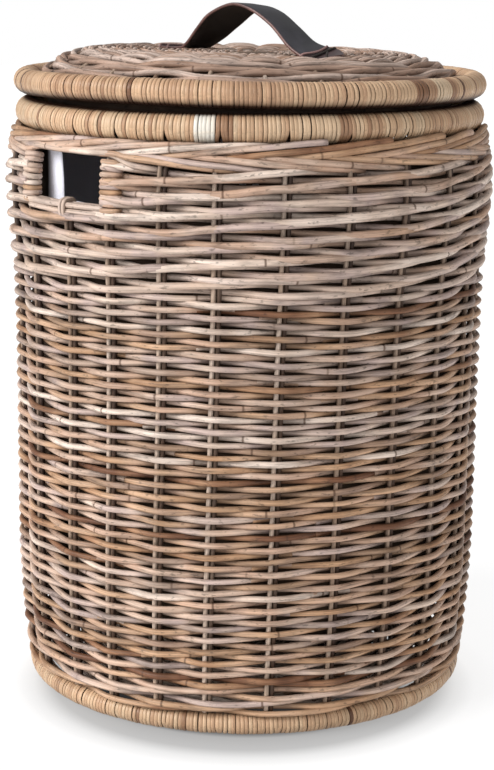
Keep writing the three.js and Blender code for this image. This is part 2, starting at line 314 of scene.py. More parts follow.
def unlevel(theta, z):
    """The rows aren't quite level above the foot: a slow wave that changes little between rows."""
    return smooth((z - 30) / 60) * (1.6 * np.sin(2 * theta + z / 90) + np.sin(5 * theta - z / 60))


STEPS = 8  # along a rod from one stake to the next
BEHIND_STAKE_SHADE = 0.34  # painted shade: how much darker a rod is where it passes behind the stakes


def woven_rod(bundle, surface, start, end, level, behind, every, reach, radius, tint, slant=0.0,
              rough=0.45, tone=0.0, gather=1.2):
    """One rod from stake to stake, going behind the stake counted behind and every so many more.
    With gather it swings from side to side quickly, and with none it runs in straight strokes."""
    count = int((end - start) * STEPS) + 1
    phase = np.linspace(start, end, count)
    turn = TAU * (phase - behind) / every
    swing = -np.cos(turn)
    if every > 2:
        swing = swing + 0.35 * (1 - np.cos(2 * turn)) * 0.5
    if gather:
        swing = np.tanh(gather * swing) / math.tanh(gather)
    else:
        swing = np.arcsin(0.96 * swing) / math.asin(0.96)
    stroke = np.mod(phase - behind, every) / every - 0.5
    rise = slant * np.sin(TAU * stroke) / 1.6
    place = level + unlevel(surface.theta(phase, level), level) * (surface is wall)
    place = place + rise + waves(count, rough, STEPS * 0.7)
    thick = radius * (1 + waves(count, 0.045, STEPS * 1.5))
    # painted shade where the rod swings in behind a stake
    dark = np.clip(tone + BEHIND_STAKE_SHADE * smooth((0.1 - swing) / 1.0), 0, 1)
    surface.rod(bundle, phase, place, swing * reach, thick, tint, tone=dark)


# ---- materials ----


def linear(rgb):
    c = np.array(rgb, float) / 255
    return (*np.where(c <= 0.04045, c / 12.92, ((c + 0.055) / 1.055) ** 2.4), 1.0)


def palette(*colours):
    return [(i / (len(colours) - 1), linear(c)) for i, c in enumerate(colours)]


class Nodes:
    """Short names for the shader nodes that the materials are made of."""

    def __init__(self, name):
        self.material = bpy.data.materials.new(name)
        self.material.use_nodes = True
        self.tree = self.material.node_tree
        self.shader = self.tree.nodes["Principled BSDF"]

    def put(self, socket, value):
        if isinstance(value, bpy.types.NodeSocket):
            self.tree.links.new(value, socket)
        else:
            socket.default_value = value

    def node(self, kind, **inputs):
        made = self.tree.nodes.new(kind)
        for key, value in inputs.items():
            self.put(made.inputs[key.replace("_", " ")], value)
        return made

    def value(self, name):
        made = self.tree.nodes.new("ShaderNodeAttribute")
        made.attribute_name = name
        return made.outputs["Fac"]

    def math(self, operation, a, b=0.0, c=0.0):
        made = self.tree.nodes.new("ShaderNodeMath")
        made.operation = operation
        for socket, value in zip(made.inputs, (a, b, c)):
            self.put(socket, value)
        return made.outputs[0]

    def times(self, a, b):
        return self.math("MULTIPLY", a, b)

    def ramp(self, factor, stops):
        made = self.tree.nodes.new("ShaderNodeValToRGB")
        elements = made.color_ramp.elements
        while len(elements) < len(stops):
            elements.new(0.5)
        for element, (at, colour) in zip(elements, stops):
            element.position = at
            element.color = colour
        self.put(made.inputs[0], factor)
        return made.outputs[0]

    def grey_ramp(self, factor, *stops):
        return self.ramp(factor, [(at, (g, g, g, 1)) for at, g in stops])

    def mix(self, factor, a, b, blend="MIX"):
        made = self.tree.nodes.new("ShaderNodeMix")
        made.data_type = "RGBA"
        made.blend_type = blend
        self.put(made.inputs[0], factor)
        self.put(made.inputs[6], a)
        self.put(made.inputs[7], b)
        return made.outputs[2]

    def noise(self, vector, scale, detail, roughness=0.55):
        made = self.node(
            "ShaderNodeTexNoise", Vector=vector, Scale=scale, Detail=detail, Roughness=roughness
        )
        return made.outputs["Fac"]

    def vector(self, x, y, z):
        return self.node("ShaderNodeCombineXYZ", X=x, Y=y, Z=z).outputs[0]

    def place(self):
        return self.tree.nodes.new("ShaderNodeTexCoord").outputs["Object"]

    def bump(self, height, strength, distance):
        made = self.node("ShaderNodeBump", Strength=strength, Distance=distance, Height=height)
        self.tree.links.new(made.outputs[0], self.shader.inputs["Normal"])

    def set(self, **inputs):
        for key, value in inputs.items():
            self.put(self.shader.inputs[key.replace("_", " ")], value)


# the colour that the tone attribute darkens rattan towards: mostly painted shade, and a few rods
# darker at random
DARK_ROD_AND_SHADE_COLOUR = linear((42, 24, 15))


def rattan(name, tones, drift=0.5, mottle=0.5, rings=0.85, gloss=(0.45, 0.7), streaks=0.75):
    """Rattan rod: each rod its own tint, which drifts along its length, mottled and streaked, with
    dark growth rings now and then. gloss is the range of its roughness."""
    n = Nodes(name)
    tint, along, about = n.value("tint"), n.value("along"), n.value("about")
    seed = n.times(tint, 61.0)

    def grain(lengthways, crossways, detail, roughness):
        """Noise stretched along the rod, and different in each rod."""
        x, y = n.times(along, lengthways), n.times(about, crossways)
        return n.noise(n.vector(x, y, seed), 1.0, detail, roughness)

    wander = n.noise(n.vector(n.times(along, 11.0), seed, 0.0), 1.0, 3.0, 0.6)
    moved = n.math("ADD", tint, n.times(n.math("SUBTRACT", wander, 0.5), drift * 2))
    colour = n.ramp(moved, tones)
    # blotches
    shade = n.grey_ramp(grain(30.0, 3.0, 4.0, 0.65), (0.28, 1 - mottle), (0.5, 0.98), (0.7, 1.1))
    colour = n.mix(1.0, colour, shade, "MULTIPLY")
    # fibres
    fibre = grain(15.0, 14.0, 5.0, 0.7)
    shade = n.grey_ramp(fibre, (0.32, 0.4), (0.52, 1.0), (0.68, 1.25))
    colour = n.mix(streaks, colour, shade, "MULTIPLY")
    # specks
    shade = n.grey_ramp(grain(150.0, 6.0, 2.0, 0.6), (0.3, 0.35), (0.4, 1.0))
    colour = n.mix(streaks, colour, shade, "MULTIPLY")
    # growth rings
    if rings:
        turns = n.math("FRACT", n.times(along, 5.3))
        ring = n.math("ABSOLUTE", n.math("SUBTRACT", turns, 0.5))
        mask = n.grey_ramp(ring, (0.0, 1.0), (0.003, 0.9), (0.007, 0.0))
        kept = n.grey_ramp(n.noise(n.vector(along, seed, 0.0), 2.5, 1.0), (0.49, 0.0), (0.56, 1.0))
        mask = n.times(n.times(mask, kept), rings)
        colour = n.mix(mask, colour, linear((84, 56, 38)))
    # stains over the whole object, and the darker tone that a rod asks for: mostly painted shade in
    # crevices, recesses and gaps, and a few rods that are darker at random
    stain = n.grey_ramp(n.noise(n.place(), 8.0, 4.0, 0.6), (0.34, 0.7), (0.58, 1.05))
    colour = n.mix(0.6, colour, stain, "MULTIPLY")
    colour = n.mix(n.value("tone"), colour, DARK_ROD_AND_SHADE_COLOUR)
    rough = n.math("MULTIPLY_ADD", fibre, gloss[1] - gloss[0], gloss[0])
    n.set(Base_Color=colour, Roughness=rough, Specular_IOR_Level=0.35)
    n.bump(fibre, 0.5, 0.0005)
    return n.material


def cloth(name, colour, white):
    """Cotton: plain weave, soiled a little in places. The tone attribute whitens it, and tint
    darkens it: beside the liner's hand-holes that darkening is painted shade."""
    n = Nodes(name)
    place = n.place()
    patch = n.noise(place, 14.0, 4.0, 0.6)
    body = n.mix(1.0, linear(colour), n.grey_ramp(patch, (0.3, 0.8), (0.7, 1.1)), "MULTIPLY")
    thread = n.noise(place, 900.0, 2.0, 0.5)
    # tint: painted shade beside the liner's hand-holes
    body = n.mix(n.value("tint"), body, linear((24, 18, 15)))
    shown = n.mix(n.value("tone"), body, linear(white))
    shown = n.mix(0.3, shown, n.grey_ramp(thread, (0.3, 0.7), (0.7, 1.1)), "MULTIPLY")
    n.set(Base_Color=shown, Roughness=0.92, Specular_IOR_Level=0.1)
    n.bump(thread, 0.4, 0.0004)
    return n.material


def leather(name):
    """Charcoal leather with a soft sheen, paler where it is rubbed, and raw red-brown cut edges."""
    n = Nodes(name)
    place = n.place()
    rubbed = n.noise(place, 26.0, 5.0, 0.65)
    grain = n.node("ShaderNodeTexVoronoi", Vector=place, Scale=900.0).outputs["Distance"]
    charcoals = [
        (0.3, linear((28, 27, 31))), (0.55, linear((42, 41, 47))), (0.75, linear((66, 64, 72))),
    ]
    body = n.ramp(rubbed, charcoals)
    # the underside is pure black: partly the leather's dark back, partly painted shade under the
    # strap's arch
    body = n.mix(n.value("tint"), body, (0, 0, 0, 1))
    raw = n.ramp(rubbed, [(0.3, linear((72, 46, 42))), (0.7, linear((132, 96, 88)))])
    colour = n.mix(n.value("tone"), body, raw)
    rough = n.math("MULTIPLY_ADD", rubbed, 0.22, 0.32)
    n.set(Base_Color=colour, Roughness=rough, Specular_IOR_Level=0.5)
    n.bump(grain, 0.25, 0.0004)
    return n.material


def cord(name):
    """Waxed dark cord, twisted. The tint attribute turns it to raw leather lace."""
    n = Nodes(name)
    turns = n.math("ADD", n.times(n.value("along"), 420.0), n.value("about"))
    strand = n.math("ABSOLUTE", n.math("SUBTRACT", n.math("FRACT", turns), 0.5))
    colour = n.ramp(strand, [(0.05, linear((16, 12, 11))), (0.4, linear((58, 46, 40)))])
    colour = n.mix(n.value("tint"), colour, linear((150, 116, 112)))
    n.set(Base_Color=colour, Roughness=0.6)
    n.bump(strand, 0.7, 0.0008)
    return n.material


ROD_TONES = palette(
    (116, 76, 52), (156, 114, 84), (190, 150, 116), (202, 165, 134), (198, 163, 140),
    (210, 182, 162), (194, 171, 162), (216, 192, 174), (234, 214, 199),
)
GREY_TONES = palette((182, 150, 128), (210, 183, 163), (218, 195, 180), (234, 215, 204))
# the lid's rods: a darker palette, partly their pinkish colour, partly painted shade on the lid's top
LID_EDGE_TONES = palette((112, 80, 62), (166, 132, 110), (186, 156, 138), (214, 191, 177))
STAKE_TONES = palette((78, 56, 44), (120, 94, 76), (182, 158, 138), (226, 206, 190))
CANE_TONES = palette(
    (88, 58, 42), (140, 102, 76), (174, 136, 106), (192, 154, 122), (204, 168, 134),
    (214, 182, 148), (224, 200, 170), (240, 234, 222),
)

rod_material = rattan("rattan_rods", ROD_TONES)
grey_material = rattan("weathered_rattan_rods", GREY_TONES, mottle=0.4)
lid_edge_material = rattan("pinkish_rattan_rods", LID_EDGE_TONES, mottle=0.55)
stake_material = rattan("rattan_stakes", STAKE_TONES, mottle=0.45, rings=0)
cane_material = rattan(
    "flat_cane", CANE_TONES, drift=0.1, mottle=0.28, rings=0, gloss=(0.3, 0.5), streaks=0.45
)
# a dark brown that stands in for the shade in the slits between the turns of cane on the hoops
pole_material = rattan("rattan_poles", palette((70, 48, 32), (110, 80, 56)), rings=0)
# painted shade: the lining's outer side is dark brown-grey for the shade behind the weave; only its
# hem and inner side are white
lining_material = cloth("lining_cloth", (72, 58, 48), (236, 236, 246))
tape_material = cloth("cotton_tape", (196, 194, 196), (230, 230, 238))
leather_material = leather("charcoal_leather")
cord_material = cord("waxed_cord")


# ---- the wall ----


def row_runs(first, last):
    """Splits a row of weaving into rods, each laid in where the one before it ran out."""
    joints = [first]
    while last - joints[-1] > 16:
        joints.append(joints[-1] + 2 * int(rng.integers(3, 8)))
    return list(zip(joints, [*joints[1:], last]))


LOWER_ROWS = 64
ROD_REACH = 4.9  # how far the middle of a weaving rod swings to either side of the stakes


def lower_weave():
    low, high = LOWER_WEAVE
    pitch = (high - low) / LOWER_ROWS
    bundles = [Bundle(), Bundle(), Bundle(), Bundle()]
    share = LOWER_ROWS // len(bundles)
    for row in range(LOWER_ROWS):
        z = low + (row + 0.5) * pitch
        first = 2 * int(rng.integers(0, STAKE_COUNT // 2)) + row % 2
        for start, end in row_runs(first, first + STAKE_COUNT):
            tone = 0.3 * (rng.random() < 0.12)
            woven_rod(
                bundles[row // share], wall, start - 0.35, end + 0.3, z, row % 2, 2, ROD_REACH,
                rng.uniform(2.6, 3.1), a_tint(0.5), tone=tone, gather=0,
            )
    for k, bundle in enumerate(bundles):
        stands_for = ("lower_weave",) if k == 0 else ()
        bundle.build(f"lower_weave_rods_{k + 1}", rod_material, "basket", "rattan_rod", stands_for)


def whole_ring(behind, _level):
    return ((behind - 0.4, behind + STAKE_COUNT + 0.4),)


def wale(bundle, surface, levels, radius, reach, slant, tint, spans=whole_ring, rough=0.5):
    """Rods that pass in front of two stakes and behind the third, each a stake on from the last."""
    for q, level in enumerate(levels):
        behind = q % 3
        for first, last in spans(behind, level):
            woven_rod(
                bundle, surface, first, last, level, behind, 3, reach,
                radius * rng.uniform(0.93, 1.05), a_tint(tint), slant=slant * rng.uniform(0.4, 1.3),
                rough=rough,
            )


def hole_spans(behind, level):
    """Beside the hand-holes a row runs from the post of one hole to the post of the other."""
    if level < HOLE_LOW - 4:
        return whole_ring(behind, level)
    one, other = CUT_STAKES
    return ((one + 0.9, other - 0.95), (other + 0.9, STAKE_COUNT + one - 0.95))


UPPER_ROWS = 18


def wales():
    """The bands of long rods. The highest row of the upper weave lies under the border."""
    low, high = UPPER_WEAVE[0], UPPER_WEAVE[1] + 4
    levels = low + (np.arange(UPPER_ROWS) + 0.5) * (high - low) / UPPER_ROWS
    upper = Bundle()
    wale(upper, wall, levels, 3.65, ROD_REACH, 3.3, tint=0.8, spans=hole_spans, rough=0.8)
    upper.build("upper_weave_rods", rod_material, "basket", "rattan_rod", ("upper_weave",))
    middle = Bundle()
    wale(middle, wall, (408.2, 414.2, 420.2), 3.3, ROD_REACH, 2.4, tint=0.7)
    middle.build("middle_wale_rods", grey_material, "basket", "grey_rattan_rod", ("middle_wale",))
    bottom = Bundle()
    wale(bottom, wall, (22.4, 27.2, 32.4, 38.0, 43.6), 3.0, 4.4, 1.0, tint=0.6)
    bottom.build("bottom_wale_rods", rod_material, "basket", "rattan_rod", ("bottom_wale",))


def over_hole(theta, level, clear):
    """Lifts a border rod clear of the hand-holes."""
    near = np.zeros_like(theta)
    for hole in HOLES:
        off = np.abs(np.mod(np.degrees(theta) - hole + 180, 360) - 180)
        near = np.maximum(near, smooth((19 - off) / 8))
    return level + np.maximum(clear - level, 0) * near


FREE_ENDS = (-28, 42)  # the angles between which the ends of the border stand clear, in degrees


def border():
    """The stakes' upper ends bent over: one layer rising to the rim, one falling from it. Each rod
    comes from inside the wall, passes in front of it and goes back in."""
    bundle = Bundle()
    count = 44
    along = np.linspace(0, 1, count)
    arch = np.sin(math.pi * along)
    for k in range(STAKE_COUNT):
        for rising in (True, False):
            span = 3.2 + rng.uniform(-0.2, 0.3)
            phase = k + (0.45 if rising else -0.1) + along * span
            theta = wall.theta(phase, HEIGHT)
            end = math.degrees(theta[-1] + math.pi) % 360 - 180
            free = rising and FREE_ENDS[0] < end < FREE_ENDS[1]
            if rising:
                level = 525.0 + 11.4 * smooth(along * 1.15) + rng.uniform(-0.4, 0.6)
                out = -3.4 + 8.4 * arch ** 0.6
            else:
                level = 531.5 - 15.6 * along ** 0.9 + rng.uniform(-0.5, 0.5)
                out = -3.8 + 8.6 * arch ** 0.55
            level = over_hole(theta, level, 527.0) + waves(count, 0.3, 8)
            if free:
                level = level + 3.6 * smooth((along - 0.7) / 0.3)
                out = np.where(along > 0.5, np.maximum(out, 4.6), out)
            # painted shade: darker where the rod goes in behind the wall
            tone = np.clip(0.5 * smooth((1.8 - out) / 4), 0, 1)
            tint = a_tint(0.4 + 0.3 * front_left(theta[count // 2]), 0.16)
            wall.rod(bundle, phase, level, out, rng.uniform(2.9, 3.3), tint, tone=tone)
    bundle.build("border_rods", rod_material, "basket", "rattan_rod", ("top_border",))


def stakes():
    """Each stake is a pair of rods. Seen from outside, the left one is painted paler as lit and the
    right one darker as shade, and both are darker from the upper weave up.
    """
    bundle = Bundle()
    count = 48
    for k in range(STAKE_COUNT):
        top = HOLE_LOW - 5 if k in CUT_STAKES else HEIGHT - 3
        z = np.linspace(WALE_LOW + 0.5, top, count)
        wander = waves(count, 0.35, 9)
        for side in (-1, 1):
            aside = (side * (STAKE_ROD + 0.15) + wander) / WALL_RADIUS
            theta = wall.theta(np.full(count, float(k)), z) + aside
            path = wall.point(theta, z, -0.7 * side)
            # painted light and shade: the left rod paler, the right one darker
            tint = a_tint(0.64 if side < 0 else 0.3, 0.14)
            tone = (0.0 if side < 0 else 0.5) + 0.3 * smooth((z - UPPER_WEAVE[0]) / 20)
            tube(bundle, path, wall.normal(theta, z), STAKE_ROD, tint, tone=tone)
    names = [f"stake_{i + 1:02d}" for i in range(STAKE_COUNT)]
    bundle.build("stake_rods", stake_material, "basket", "rattan_stake", names)


# ---- hoops wound with cane ----

ROUND = np.arange(20) * TAU / 20
# The section of a strip of cane: along the hoop, in half widths, and outwards in millimetres.
STRIP = [(-1.0, -0.35), (-0.7, 0.12), (0.0, 0.3), (0.7, 0.12), (1.0, -0.35), (0.0, -1.0)]


def cane_runs(count, run_lengths, middle, spread):
    """Tints for the turns of cane: one strip gives a run of turns of much the same colour, and
    a turn here and there is dark."""
    made = []
    while len(made) < count:
        run = int(rng.integers(*run_lengths))
        made.extend([a_tint(middle, spread)] * run)
    made = np.clip(np.array(made[:count]) + rng.normal(0, 0.085, count), 0, 0.7)
    return np.where(rng.random(count) < 0.055, rng.uniform(0.0, 0.2, count), made)


def turns_of_cane(bundle, hoop, count, tint, pinch=0.0, lift=None, lean=0.35, outer=0.9, shut=0):
    """Flat cane wound round a hoop. pinch opens the turns at the stakes, on the hoop's lower side.
    lean slants them, and outer is how far they lie inside the hoop's full section. shut is 1 where
    another hoop lies on top and -1 where one lies below: shade is painted there, in the gap."""
    radius, height, section = hoop
    half = math.pi / count * 1.05  # half of a turn's width, as an angle
    stake = np.degrees(wall.theta(np.arange(STAKE_COUNT, dtype=float), HEIGHT))
    strip = np.array(STRIP)
    for k in range(count):
        theta = TAU * (k + rng.uniform(-0.1, 0.1)) / count
        off = np.mod(math.degrees(theta) - stake + 180, 360) - 180
        off = off[np.argmin(np.abs(off))] / (360 / count)
        apart = np.sign(off) * pinch * max(0.0, 1 - abs(off) / 3) * half
        below = smooth(-np.sin(ROUND) * 1.2)
        tilt = lean * half * np.cos(ROUND) + apart * below + rng.normal(0, 0.1) * half
        turn = theta + half * strip[None, :, 0] + tilt[:, None]
        bulge = rng.uniform(-0.18, 0.18)
        reach = section - outer + strip[None, :, 1] + bulge - 0.5 * abs(apart) / half * below[:, None]
        r = radius + reach * np.cos(ROUND)[:, None]
        z = height + reach * np.sin(ROUND)[:, None] + (lift(theta) if lift else 0.0)
        points = np.stack([r * np.cos(turn), r * np.sin(turn), z], axis=-1)
        along = (ROUND * section * MM)[:, None] + tint[k] * 3 + k * 0.01
        about = np.linspace(0, 1, len(STRIP))
        tone = np.array([0.3, 0.0, 0.0, 0.0, 0.3, 0.6])  # painted shade: dark edges where the turns meet, and a darker inner side against the hoop
        # painted shade in the gap between the rim and the lid
        if shut > 0:
            gap_shade = smooth((np.sin(ROUND) - 0.72) / 0.2) * smooth((0.75 - np.cos(ROUND)) / 0.4)
        else:
            gap_shade = smooth((-np.sin(ROUND) - 0.42) / 0.36) * -shut
        tone = np.maximum(tone, gap_shade[:, None])
        bundle.add(points, tint[k], along, about, tone=tone, closed=True)


def band(theta_degrees, count, width):
    """The width turns of cane nearest to an angle."""
    middle = round(theta_degrees % 360 / 360 * count)
    return [(middle + k) % count for k in range(-(width // 2), width - width // 2)]


def front_left(theta):
    """1 towards the front left hand-hole and 0 far from it."""
    return float(smooth(1 - abs((math.degrees(theta) + 78 + 180) % 360 - 180) / 55))


RIM_TURNS, LID_TURNS, FOOT_TURNS = 372, 360, 348


def hoops():
    """The wrappings. A few turns of the rim and of the lid have a tint that stands out."""
    rim = Bundle()
    tint = cane_runs(RIM_TURNS, (7, 22), 0.5, 0.1)
    # painted light and shade: paler towards the right as seen, away from the key light, and darker on
    # the lit left
    tint += 0.16 + 0.1 * np.cos(np.arange(RIM_TURNS) * TAU / RIM_TURNS)
    tint = np.minimum(tint, 0.74)
    tint[band(-55.4, RIM_TURNS, 5)] = 0.97
    tint[band(-50.8, RIM_TURNS, 4)] = 0.24
    tint[band(-23.5, RIM_TURNS, 3)] = 0.22
    turns_of_cane(
        rim, RIM_HOOP, RIM_TURNS, tint, pinch=0.9, lift=lambda t: -1.2 * front_left(t) - 0.4, shut=1
    )
    rim.build("rim_cane", cane_material, "basket", "cane_wrap", ("rim_wrap",))
    lid = Bundle()
    tint = cane_runs(LID_TURNS, (8, 26), 0.58, 0.08)
    # painted shade and light: darker towards the front left, where the key light falls, and paler
    # opposite
    tint -= 0.12 * np.cos(np.arange(LID_TURNS) * TAU / LID_TURNS + 1.3)
    tint[band(-2.5, LID_TURNS, 4)] = 0.16
    tint[band(1, LID_TURNS, 3)] = 0.34
    tint[band(5.5, LID_TURNS, 6)] = 0.78
    tint[band(9.5, LID_TURNS, 2)] = 0.2
    turns_of_cane(
        lid, LID_HOOP, LID_TURNS, tint, lift=lambda t: 1.6 * front_left(t) + 0.8, shut=-1
    )
    lid.build("lid_cane", cane_material, "lid", "cane_wrap", ("lid_wrap",))
    foot = Bundle()
    tint = cane_runs(FOOT_TURNS, (10, 30), 0.6, 0.05)
    turns_of_cane(foot, FOOT_HOOP, FOOT_TURNS, tint, pinch=-0.7, lean=0.5, outer=0.75)
    foot.build("foot_cane", cane_material, "basket", "cane_wrap", ("foot_wrap",))


# ---- hand-holes ----


def frame_at(theta, level):
    """A place on the wall, with the directions along it and outwards."""
    theta = np.array([theta])
    place = wall.point(theta, np.array([level]))[0]
    out = wall.normal(theta, level)[0]
    return place, unit(np.cross(UP, out)), out


def loop(bundle, place, one, two, half_one, half_two, radius, tint, power=0.75):
    """A closed turn of rod, squarer than an ellipse. It reaches half_one along the direction one."""
    turn = np.arange(28) * TAU / 28
    a = np.sign(np.cos(turn)) * np.abs(np.cos(turn)) ** power
    b = np.sign(np.sin(turn)) * np.abs(np.sin(turn)) ** power
    around = half_one * a[:, None] * one + half_two * b[:, None] * two
    tube(bundle, place + around, unit(around), radius, tint, closed=True)


POST_LOOPS = 9  # turns of rod round a post
LOOP_PITCH = 5.25
LEFT_POST_SHIFT = 3.2  # degrees that the left post stands further from the hole


def hand_holes():
    posts, sills = Bundle(), Bundle()
    post_angle = math.degrees(math.asin((HOLE_HALF_WIDTH + POST_WIDTH / 2) / HOLE_RADIUS))
    for hole in HOLES:
        for side in (-1, 1):
            further = LEFT_POST_SHIFT if side < 0 else 0
            theta = math.radians(hole + side * post_angle - further)
            for k in range(POST_LOOPS):
                level = HOLE_LOW - 3.6 + LOOP_PITCH * k + rng.normal(0, 0.3)
                place, ahead, out = frame_at(theta, level)
                ahead = unit(ahead + np.array([0, 0, rng.normal(0, 0.06)]))
                width = 8.4 + rng.uniform(-0.4, 0.5)
                loop(posts, place, ahead, out, width, 5.3, rng.uniform(2.45, 2.75), a_tint(0.62, 0.15))
        theta = np.radians(np.linspace(hole - 15, hole + 11.5, 30))
        for out, z in ((3.2, HOLE_LOW - 2.9), (-3.0, HOLE_LOW - 3.1), (3.6, HOLE_LOW - 8.4)):
            level = z + waves(30, 0.3, 7)
            path = wall.point(theta, level, np.full(30, out))
            tube(sills, path, wall.normal(theta, level), 2.7, a_tint(0.5))
        for aside in (-1.2, -0.1):
            place, ahead, out = frame_at(math.radians(hole + aside), HOLE_LOW - 5.6)
            loop(sills, place, UP, out, 7.0, 6.6, 1.9, a_tint(0.6, 0.1), power=0.6)
    names = [f"hand_hole_post_{end}_{side}" for end in ("front", "back") for side in ("left", "right")]
    posts.build("hand_hole_posts", rod_material, "basket", "rattan_rod", names)
    sills.build(
        "hand_hole_sills", grey_material, "basket", "grey_rattan_rod",
        ("hand_hole_sill_front", "hand_hole_sill_back"),
    )


# ---- the lid and the base ----


def twined_disc(bundle, surface, levels, reach, radius):
    """Pairs of rods that cross between the spokes, twisted the other way in every second ring."""
    for k, level in enumerate(levels):
        slow = smooth((level - 25) / 60)
        for behind in (0, 1):
            count = STAKE_COUNT * STEPS + 1
            phase = np.linspace(-0.3 + behind, STAKE_COUNT + 0.3 + behind, count)
            swing = -np.cos(math.pi * (phase - behind))
            twist = (1 if k % 2 else -1) * 1.3 * np.sin(math.pi * (phase - behind))
            place = level + twist * slow + waves(count, 0.25, STEPS)
            # painted shade where a rod passes behind a spoke
            tone = BEHIND_STAKE_SHADE * smooth(-swing)
            surface.rod(
                bundle, phase, place, reach * np.tanh(1.4 * swing) / math.tanh(1.4),
                radius * rng.uniform(0.94, 1.06) * (0.85 + 0.15 * slow), a_tint(0.78, 0.2),
                tone=tone, sides=6,
            )


def spokes(bundle, surface, inner, outer, radius):
    levels = np.linspace(inner, outer, 44)
    for k in range(STAKE_COUNT):
        surface.rod(bundle, np.full(44, float(k)), levels, waves(44, 0.25, 8), radius, a_tint(0.5))


CROSS_STICKS = 6  # sticks each way
CROSS_GAP = 5.2  # from one to the next
CROSS_REACH = 40  # half of their length


def middle_cross(bundle, surface):
    """The crossed sticks that the spokes start from."""
    for turned, layer in ((0, 1.9), (1, -2.4)):
        for k in range(CROSS_STICKS):
            aside = (k - (CROSS_STICKS - 1) / 2) * CROSS_GAP
            run = np.linspace(-CROSS_REACH, CROSS_REACH, 24)
            x, y = (run, aside + 0 * run) if turned else (aside + 0 * run, run)
            theta = np.arctan2(y, x)
            path = surface.point(theta, np.hypot(x, y), np.full(24, layer))
            tube(bundle, path, surface.normal(theta, np.hypot(x, y)), 2.3, a_tint(0.5))


def lid():
    panel = Bundle()
    twined_disc(panel, lid_top, np.linspace(30, 156, 20), 3.2, 2.15)
    wale(panel, lid_top, (161.5, 167.0), 3.1, 2.3, 2.6, tint=0.8, rough=0.8)
    panel.build("lid_panel_weave", lid_edge_material, "lid", "rattan_rod", ("lid_panel",))
    arms = Bundle()
    spokes(arms, lid_top, 24, 196, 2.1)
    middle_cross(arms, lid_top)
    arms.build("lid_spoke_rods", stake_material, "lid", "rattan_stake", ("lid_spokes",))
    edge = Bundle()
    wale(edge, lid_top, (172.6, 178.0, 183.4, 188.8, 194.2), 3.2, 2.2, 2.4, tint=0.72, rough=0.8)
    wale(edge, lid_top, (198.2, 201.4), 2.3, 0.8, 0.0, tint=0.4, rough=0.3)
    edge.build("lid_wale_rods", lid_edge_material, "lid", "grey_rattan_rod", ("lid_wale",))
    ring = Bundle()
    radius, height, section = LOCATING_HOOP
    turn = np.linspace(0, TAU, 144, endpoint=False)
    path = np.stack([radius * np.cos(turn), radius * np.sin(turn), height + 0 * turn], axis=-1)
    # painted shade: the ring is darkened, as it shows only in the shaded gap between lid and rim
    tube(ring, path, wall.normal(turn, HEIGHT), section - 0.4, 0.4, sides=14, closed=True, tone=0.6)
    ring.build("lid_locating_ring", stake_material, "lid", "rattan_pole", ("lid_locating_hoop",))


def bottom():
    weave = Bundle()
    twined_disc(weave, base, np.linspace(30, BASE_RADIUS - 3, 25), 3.2, 2.5)
    weave.build("base_weave_rods", rod_material, "basket", "rattan_rod", ("base_weave",))
    sticks = Bundle()
    spokes(sticks, base, 24, BASE_RADIUS - 1, 2.2)
    middle_cross(sticks, base)
    sticks.build("base_stick_rods", stake_material, "basket", "rattan_stake", ("base_sticks",))


# ---- the liner ----


def shell(name, outer, thickness, kept, tone, tint):
    """A cloth from a grid of points, round in its second direction. kept marks the cells that are
    cloth; the rest are holes. Its inner side is clean and white; the outer side keeps the cloth's
    colour, which on the liner is painted shade."""
    rows, columns = outer.shape[:2]
    down = np.gradient(outer, axis=0)
    across = np.roll(outer, -1, 1) - np.roll(outer, 1, 1)
    inner = outer - unit(np.cross(across, down)) * thickness
    grid = np.arange(rows * columns).reshape(rows, columns)
    far = grid + rows * columns
    ring = np.roll(grid, -1, 1)
    far_ring = np.roll(far, -1, 1)
    faces = []
    for i in range(rows - 1):
        for j in range(columns):
            if not kept[i, j]:
                continue
            a, b, c, d = grid[i, j], ring[i, j], ring[i + 1, j], grid[i + 1, j]
            e, f, g, h = far[i, j], far_ring[i, j], far_ring[i + 1, j], far[i + 1, j]
            faces.append((a, b, c, d))
            faces.append((h, g, f, e))
            if i == 0 or not kept[i - 1, j]:
                faces.append((e, f, b, a))
            if i == rows - 2 or not kept[i + 1, j]:
                faces.append((d, c, g, h))
            if not kept[i, j - 1]:
                faces.append((a, d, h, e))
            if not kept[i, (j + 1) % columns]:
                faces.append((c, b, f, g))
    points = np.concatenate([outer.reshape(-1, 3), inner.reshape(-1, 3)]) * MM
    used = np.unique(np.array(faces))
    slot_of = np.full(len(points), -1)
    slot_of[used] = np.arange(len(used))
    mesh = bpy.data.meshes.new(name)
    mesh.from_pydata(points[used].tolist(), [], slot_of[np.array(faces)].tolist())
    mesh.polygons.foreach_set("use_smooth", np.ones(len(faces), bool))
    for key, value, inside in (("tone", tone, 0.8), ("tint", tint, 0.0)):
        value = np.concatenate([value.reshape(-1), np.full(rows * columns, inside)])
        add_values(mesh, key, value[used])
    mesh.update(calc_edges=True)
    return mesh


LINER_HOLE = (478.0, 526.0)
HOLE_BEFORE, HOLE_AFTER = 8.75, 13.5  # degrees either side of the middle of the hand-hole
HEM = 7.5  # degrees of white hem before the hole
WHITE_BAND = 470.0  # the height that the hem starts from


